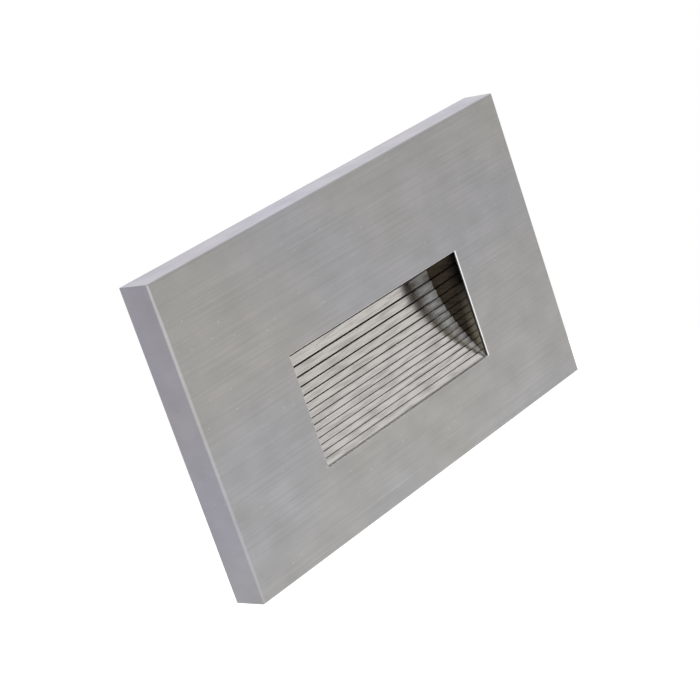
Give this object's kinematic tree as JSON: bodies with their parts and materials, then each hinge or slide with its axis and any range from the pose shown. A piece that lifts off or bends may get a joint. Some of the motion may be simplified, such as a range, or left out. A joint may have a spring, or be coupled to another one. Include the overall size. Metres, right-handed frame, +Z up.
{
  "type": "step light",
  "caption": "Recessed horizontal step light: brushed faceplate with a rectangular window onto a ribbed bright reflector, on a steel yoke with a rear driver housing.",
  "frame": {"origin": "middle of the faceplate on the wall surface, midway between the two wall-box screws", "axes": "+X to the right along the faceplate seen from the room, +Y into the wall, +Z up"},
  "size_m": [0.1142, 0.045, 0.0698],
  "materials": {
    "brushed_stainless": "brushed along its length, clear anodised look",
    "zinc_steel": "rolled sheet, bright zinc plated",
    "spring_steel": "tempered strip, oiled",
    "screw_steel": "cold headed, zinc plated",
    "bright_reflector": "moulded and vacuum metallised",
    "frosted_lens": "frosted polycarbonate",
    "white_moulding": "fine moulded texture",
    "white_board": "metal core board with white solder mask",
    "led_phosphor": "phosphor filled silicone",
    "raw_aluminium": "bent sheet, mill finish",
    "cast_housing": "die cast, fine blasted",
    "pad_silicone": "gap pad",
    "clear_silicone": "moulded",
    "black_foam": "closed cell foam",
    "black_rubber": "moulded",
    "red_fibre": "vulcanised fibre",
    "insulating_film": "polyester sheet",
    "green_board": "glass epoxy with solder mask",
    "ferrite": "sintered",
    "yellow_tape": "polyester tape over enamelled wire",
    "can_sleeve": "shrink sleeve",
    "yellow_case": "moulded case",
    "blue_epoxy": "dipped epoxy",
    "resistor_coat": "flameproof lacquer",
    "black_epoxy": "moulded package",
    "terminal_green": "moulded polyamide",
    "tinned_brass": "tin plated",
    "cage_steel": "zinc plated",
    "red_lead": "insulated stranded wire",
    "black_lead": "insulated stranded wire"
  },
  "bodies": {
    "fixture": {"yoke": "zinc_steel", "wall_gasket": "black_foam", "screw_retainers": "red_fibre", "reflector": "bright_reflector", "reflector_screws": "screw_steel", "lens": "frosted_lens", "lens_gasket": "clear_silicone", "lens_frame": "white_moulding", "lens_frame_screws": "screw_steel", "lamp_board": "white_board", "lamp_chips": "led_phosphor", "heat_sink": "raw_aluminium", "heat_sink_screws": "screw_steel", "thermal_pad": "pad_silicone", "housing": "cast_housing", "yoke_screws": "screw_steel", "lead_grommet": "black_rubber", "insulation_sheet": "insulating_film", "cover_gasket": "black_rubber", "rear_cover": "cast_housing", "rear_cover_screws": "screw_steel", "driver_board": "green_board", "driver_board_screws": "screw_steel", "transformer_core": "ferrite", "transformer_winding": "yellow_tape", "input_capacitor": "can_sleeve", "output_capacitor": "can_sleeve", "film_capacitor": "yellow_case", "drum_inductor": "ferrite", "varistor": "blue_epoxy", "fusible_resistor": "resistor_coat", "bridge_rectifier": "black_epoxy", "controller_chip": "black_epoxy", "terminal_body": "terminal_green", "terminal_busbars": "tinned_brass", "lead_red": "red_lead", "lead_black": "black_lead", "retaining_spring_left": "spring_steel", "retaining_spring_right": "spring_steel"},
    "faceplate": {"faceplate": "brushed_stainless"},
    "left_box_screw": {"box_screw_left": "screw_steel"},
    "right_box_screw": {"box_screw_right": "screw_steel"},
    "live_clamp_screw": {"clamp_screw_live": "screw_steel"},
    "live_clamp_cage": {"clamp_cage_live": "cage_steel"},
    "neutral_clamp_screw": {"clamp_screw_neutral": "screw_steel"},
    "neutral_clamp_cage": {"clamp_cage_neutral": "cage_steel"},
    "earth_clamp_screw": {"clamp_screw_earth": "screw_steel"},
    "earth_clamp_cage": {"clamp_cage_earth": "cage_steel"}
  },
  "joints": [
    {"name": "faceplate_pull", "type": "slide", "parent": "fixture", "child": "faceplate", "axis": [0, -1, 0], "range_m": [0, 0.04]},
    {"name": "left_box_screw_turn", "type": "hinge", "parent": "fixture", "child": "left_box_screw", "pos_m": [-0.04165, 0, 0], "axis": [0, 1, 0], "continuous": true},
    {"name": "right_box_screw_turn", "type": "hinge", "parent": "fixture", "child": "right_box_screw", "pos_m": [0.04165, 0, 0], "axis": [0, 1, 0], "continuous": true},
    {"name": "live_clamp_screw_turn", "type": "hinge", "parent": "fixture", "child": "live_clamp_screw", "pos_m": [-0.00508, 0.033, -0.00515], "axis": [0, 1, 0], "range_deg": [0, 1100]},
    {"name": "live_clamp_cage_rise", "type": "slide", "parent": "fixture", "child": "live_clamp_cage", "axis": [0, 1, 0], "range_m": [0, 0.0015]},
    {"name": "neutral_clamp_screw_turn", "type": "hinge", "parent": "fixture", "child": "neutral_clamp_screw", "pos_m": [0, 0.033, -0.00515], "axis": [0, 1, 0], "range_deg": [0, 1100]},
    {"name": "neutral_clamp_cage_rise", "type": "slide", "parent": "fixture", "child": "neutral_clamp_cage", "axis": [0, 1, 0], "range_m": [0, 0.0015]},
    {"name": "earth_clamp_screw_turn", "type": "hinge", "parent": "fixture", "child": "earth_clamp_screw", "pos_m": [0.00508, 0.033, -0.00515], "axis": [0, 1, 0], "range_deg": [0, 1100]},
    {"name": "earth_clamp_cage_rise", "type": "slide", "parent": "fixture", "child": "earth_clamp_cage", "axis": [0, 1, 0], "range_m": [0, 0.0015]}
  ],
  "couplings": [
    {"joint": "live_clamp_screw_turn", "follows": "live_clamp_cage_rise", "rad_per_m": 12566},
    {"joint": "neutral_clamp_screw_turn", "follows": "neutral_clamp_cage_rise", "rad_per_m": 12566},
    {"joint": "earth_clamp_screw_turn", "follows": "earth_clamp_cage_rise", "rad_per_m": 12566}
  ]
}
